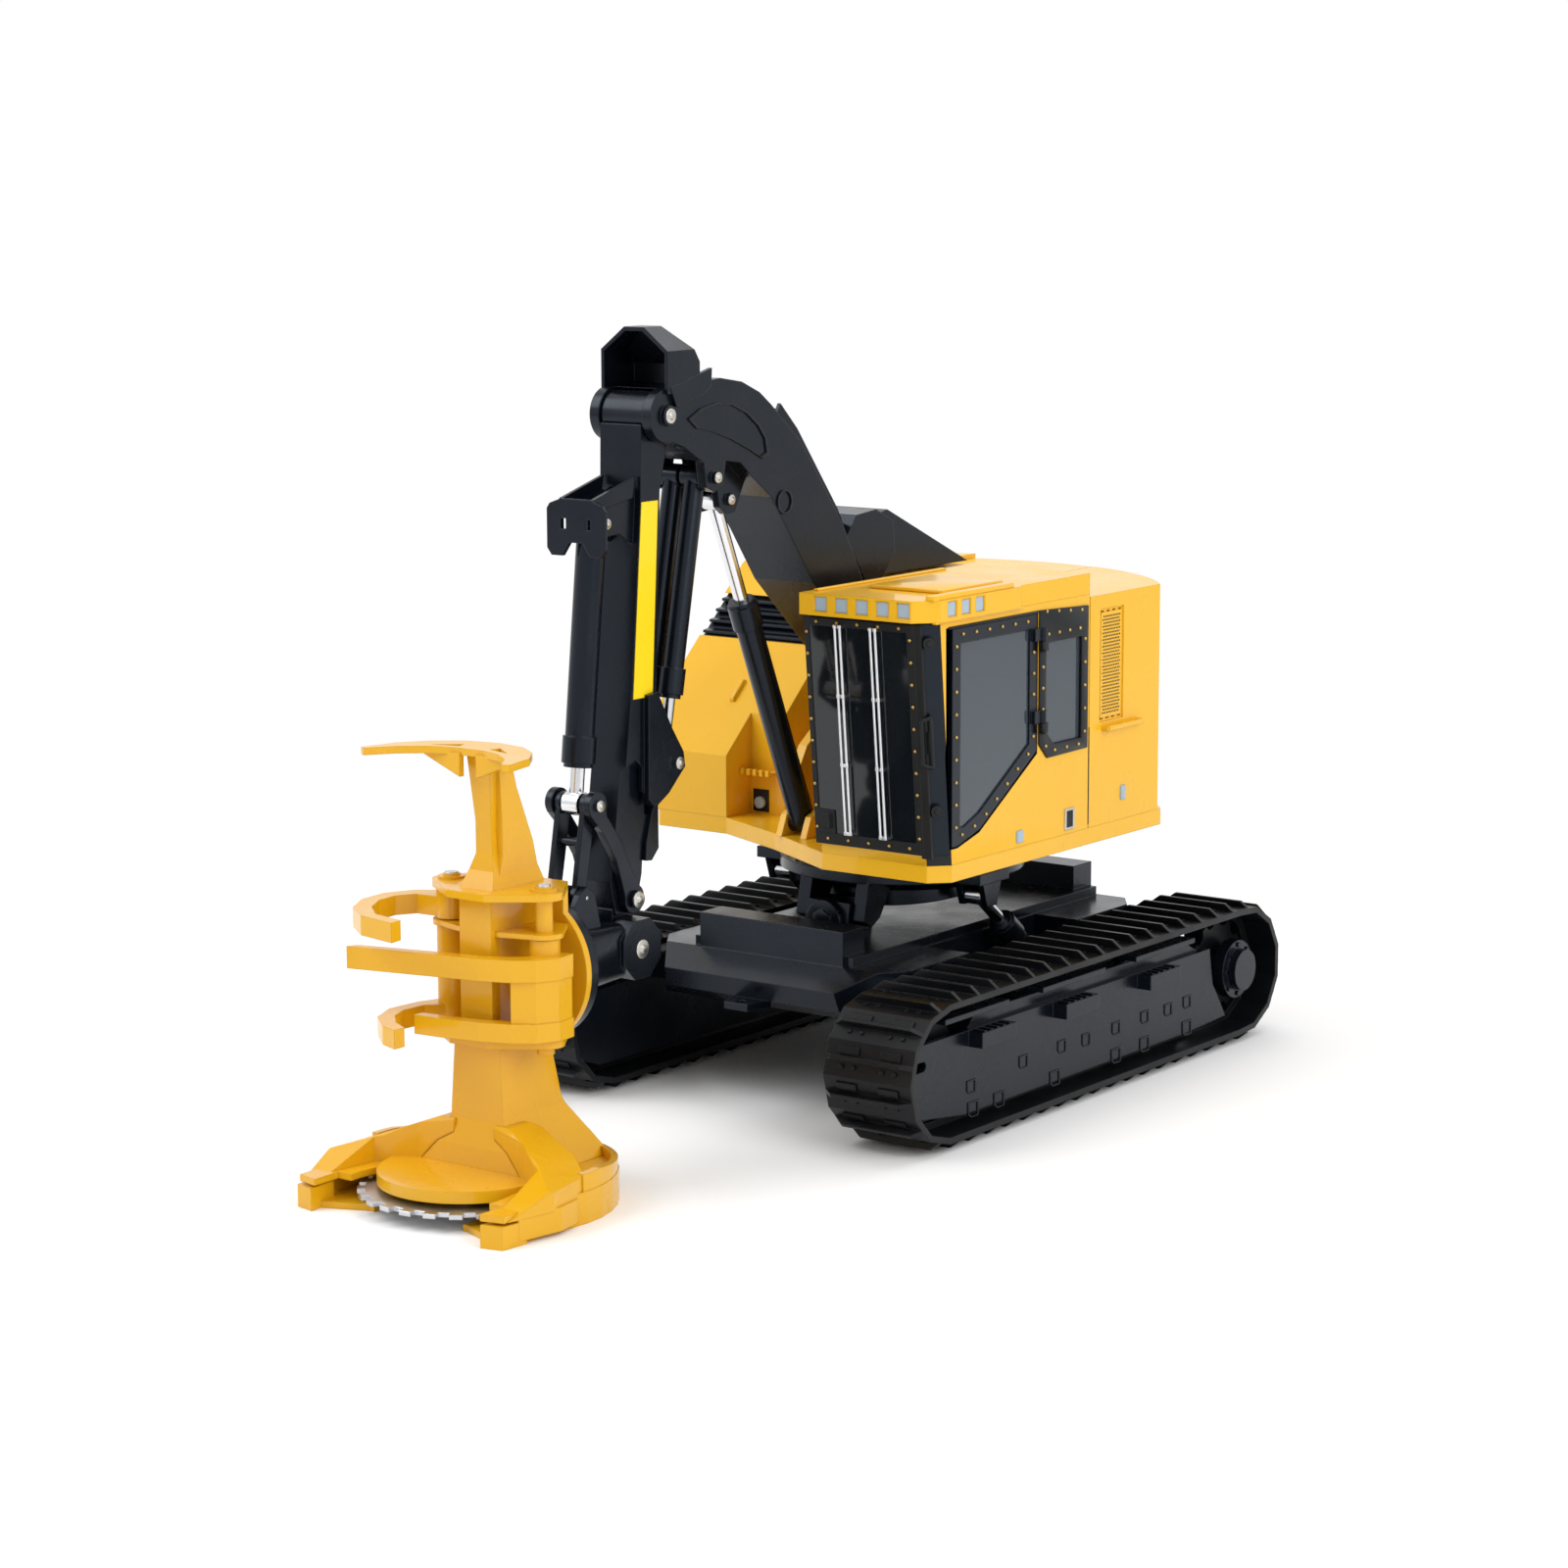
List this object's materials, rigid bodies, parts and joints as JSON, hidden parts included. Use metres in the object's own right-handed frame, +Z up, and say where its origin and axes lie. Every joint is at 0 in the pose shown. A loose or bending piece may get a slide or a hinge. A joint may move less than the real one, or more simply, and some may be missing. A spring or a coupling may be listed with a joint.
{
  "type": "scale model of a tracked feller buncher",
  "caption": "Scale model of a tracked forestry machine: a slewing house with a cab on levelling tracks, a knuckle boom and a rolling disc-saw felling head with grab arms.",
  "frame": {"origin": "middle of the bounding box in X and Y, at the plane that the track grousers and the felling head stand on", "axes": "-Y is forward (felling head), +X is the cab side, +Z is up"},
  "size_m": [0.1068, 0.2386, 0.1629],
  "materials": {
    "yellow_paint": "gloss",
    "ochre_paint": "gloss",
    "black_paint": "satin",
    "bright_rod": "polished",
    "silver_saw": "satin",
    "smoked_glass": "gloss",
    "lamp_lens": "gloss",
    "dark_plastic": "matt"
  },
  "bodies": {
    "undercarriage": {"carbody": "black_paint", "left_track": "black_paint", "right_track": "black_paint", "track_frames": "black_paint", "guard_plates": "black_paint", "idlers": "black_paint", "sprockets": "black_paint", "drive_hubs": "black_paint", "rollers": "black_paint"},
    "levelling": {"levelling_frame": "black_paint"},
    "level_barrels": {"level_cylinder_barrels": "black_paint"},
    "level_rods": {"level_cylinder_rods": "bright_rod"},
    "house": {"slewing_ring": "black_paint", "deck": "yellow_paint", "boom_foot_bracket": "yellow_paint", "hoist_foot_lugs": "yellow_paint", "cab_front_frame": "black_paint", "cab_corner_post": "black_paint", "left_grille": "black_paint", "engine_house": "yellow_paint", "left_compartment": "yellow_paint", "right_hood": "yellow_paint", "right_louvres": "black_paint", "intake_scoop": "black_paint", "cab_shell": "yellow_paint", "cab_glass": "smoked_glass", "cab_roof": "yellow_paint", "work_lamps": "lamp_lens", "cab_seat": "dark_plastic"},
    "door": {"cab_door": "black_paint", "cab_door_glass": "smoked_glass"},
    "boom": {"boom": "black_paint", "boom_tip_guard": "black_paint", "hose_tray": "black_paint", "hose_clamp_guard": "black_paint"},
    "hoist_barrel": {"hoist_cylinder_barrel": "black_paint"},
    "hoist_rod": {"hoist_cylinder_rod": "bright_rod"},
    "stick": {"stick": "black_paint", "stick_lamp_guard": "black_paint", "stick_rear_guard": "black_paint"},
    "stick_barrels": {"stick_cylinder_barrels": "black_paint"},
    "stick_rods": {"stick_cylinder_rods": "bright_rod"},
    "wrist": {"wrist": "black_paint"},
    "rocker": {"rocker_levers": "black_paint"},
    "links": {"wrist_links": "black_paint"},
    "tilt_barrel": {"tilt_cylinder_barrel": "black_paint"},
    "tilt_rod": {"tilt_cylinder_rod": "bright_rod"},
    "head": {"head_frame": "ochre_paint", "head_horn": "ochre_paint", "head_base": "ochre_paint"},
    "left_arm": {"left_arm": "ochre_paint"},
    "right_arm": {"right_arm": "ochre_paint"},
    "saw": {"saw_disc": "silver_saw"}
  },
  "joints": [
    {"name": "house_tip", "type": "hinge", "parent": "undercarriage", "child": "levelling", "pos_m": [0, 0.02183, 0.037], "axis": [1, 0, 0], "range_deg": [-6, 12]},
    {"name": "level_barrel_swing", "type": "hinge", "parent": "undercarriage", "child": "level_barrels", "pos_m": [0, 0.05783, 0.0245], "axis": [1, 0, 0], "range_deg": [-4.31, 2.18]},
    {"name": "level_rod_slide", "type": "slide", "parent": "level_barrels", "child": "level_rods", "axis": [0, -0.7809, 0.6247], "range_m": [-0.00142, 0.00282]},
    {"name": "house_slew", "type": "hinge", "parent": "levelling", "child": "house", "pos_m": [0, 0.04582, 0.05], "axis": [0, 0, 1], "continuous": true},
    {"name": "cab_door_swing", "type": "hinge", "parent": "house", "child": "door", "pos_m": [0.0453, 0.03093, 0.08], "axis": [0, 0, 1], "range_deg": [0, 95]},
    {"name": "boom_lift", "type": "hinge", "parent": "house", "child": "boom", "pos_m": [0, 0.03782, 0.066], "axis": [-1, 0, 0], "range_deg": [-17, 28]},
    {"name": "hoist_barrel_swing", "type": "hinge", "parent": "house", "child": "hoist_barrel", "pos_m": [0, 0.00932, 0.0578], "axis": [-1, 0, 0], "range_deg": [-17.25, 28.37]},
    {"name": "hoist_rod_slide", "type": "slide", "parent": "hoist_barrel", "child": "hoist_rod", "axis": [0, -0.3972, 0.9177], "range_m": [-0.00863, 0.01419]},
    {"name": "stick_swing", "type": "hinge", "parent": "boom", "child": "stick", "pos_m": [0, -0.04517, 0.146], "axis": [1, 0, 0], "range_deg": [-50, 18]},
    {"name": "stick_barrel_swing", "type": "hinge", "parent": "boom", "child": "stick_barrels", "pos_m": [0, -0.03018, 0.133], "axis": [1, 0, 0], "range_deg": [-53.14, 19.16]},
    {"name": "stick_rod_slide", "type": "slide", "parent": "stick_barrels", "child": "stick_rods", "axis": [0, -0.1948, -0.9809], "range_m": [-0.0055, 0.01524]},
    {"name": "wrist_tilt", "type": "hinge", "parent": "stick", "child": "wrist", "pos_m": [0, -0.05488, 0.0428], "axis": [-1, 0, 0], "range_deg": [-45, 10]},
    {"name": "rocker_swing", "type": "hinge", "parent": "stick", "child": "rocker", "pos_m": [0, -0.05407, 0.0523], "axis": [-1, 0, 0], "range_deg": [-44.6, 9.95]},
    {"name": "link_swing", "type": "hinge", "parent": "rocker", "child": "links", "pos_m": [0, -0.06507, 0.0723], "axis": [-1, 0, 0], "range_deg": [-5.33, 23.81]},
    {"name": "tilt_barrel_swing", "type": "hinge", "parent": "stick", "child": "tilt_barrel", "pos_m": [0, -0.05917, 0.126], "axis": [-1, 0, 0], "range_deg": [-2, 8.82]},
    {"name": "tilt_rod_slide", "type": "slide", "parent": "tilt_barrel", "child": "tilt_rod", "axis": [0, -0.1092, -0.994], "range_m": [-0.00307, 0.01376]},
    {"name": "head_roll", "type": "hinge", "parent": "wrist", "child": "head", "pos_m": [0, -0.07867, 0.0427], "axis": [0, -1, 0], "range_deg": [-110, 110]},
    {"name": "left_arm_swing", "type": "hinge", "parent": "head", "child": "left_arm", "pos_m": [-0.0114, -0.08868, 0.044], "axis": [0, 0, -1], "range_deg": [0, 55]},
    {"name": "right_arm_swing", "type": "hinge", "parent": "head", "child": "right_arm", "pos_m": [0.0114, -0.08868, 0.044], "axis": [0, 0, 1], "range_deg": [0, 55]},
    {"name": "saw_spin", "type": "hinge", "parent": "head", "child": "saw", "pos_m": [0, -0.09817, 0.0034], "axis": [0, 0, 1], "continuous": true}
  ],
  "couplings": [
    {"joint": "level_barrel_swing", "follows": "house_tip", "ratio": -0.35477},
    {"joint": "level_rod_slide", "follows": "house_tip", "m_per_rad": 0.013373},
    {"joint": "hoist_barrel_swing", "follows": "boom_lift", "ratio": 1.0115},
    {"joint": "hoist_rod_slide", "follows": "boom_lift", "m_per_rad": 0.029004},
    {"joint": "stick_barrel_swing", "follows": "stick_swing", "ratio": 1.0617},
    {"joint": "stick_rod_slide", "follows": "stick_swing", "m_per_rad": -0.017443},
    {"joint": "rocker_swing", "follows": "wrist_tilt", "ratio": 0.99},
    {"joint": "link_swing", "follows": "wrist_tilt", "ratio": -0.528},
    {"joint": "tilt_barrel_swing", "follows": "wrist_tilt", "ratio": -0.195},
    {"joint": "tilt_rod_slide", "follows": "wrist_tilt", "m_per_rad": -0.0175}
  ]
}
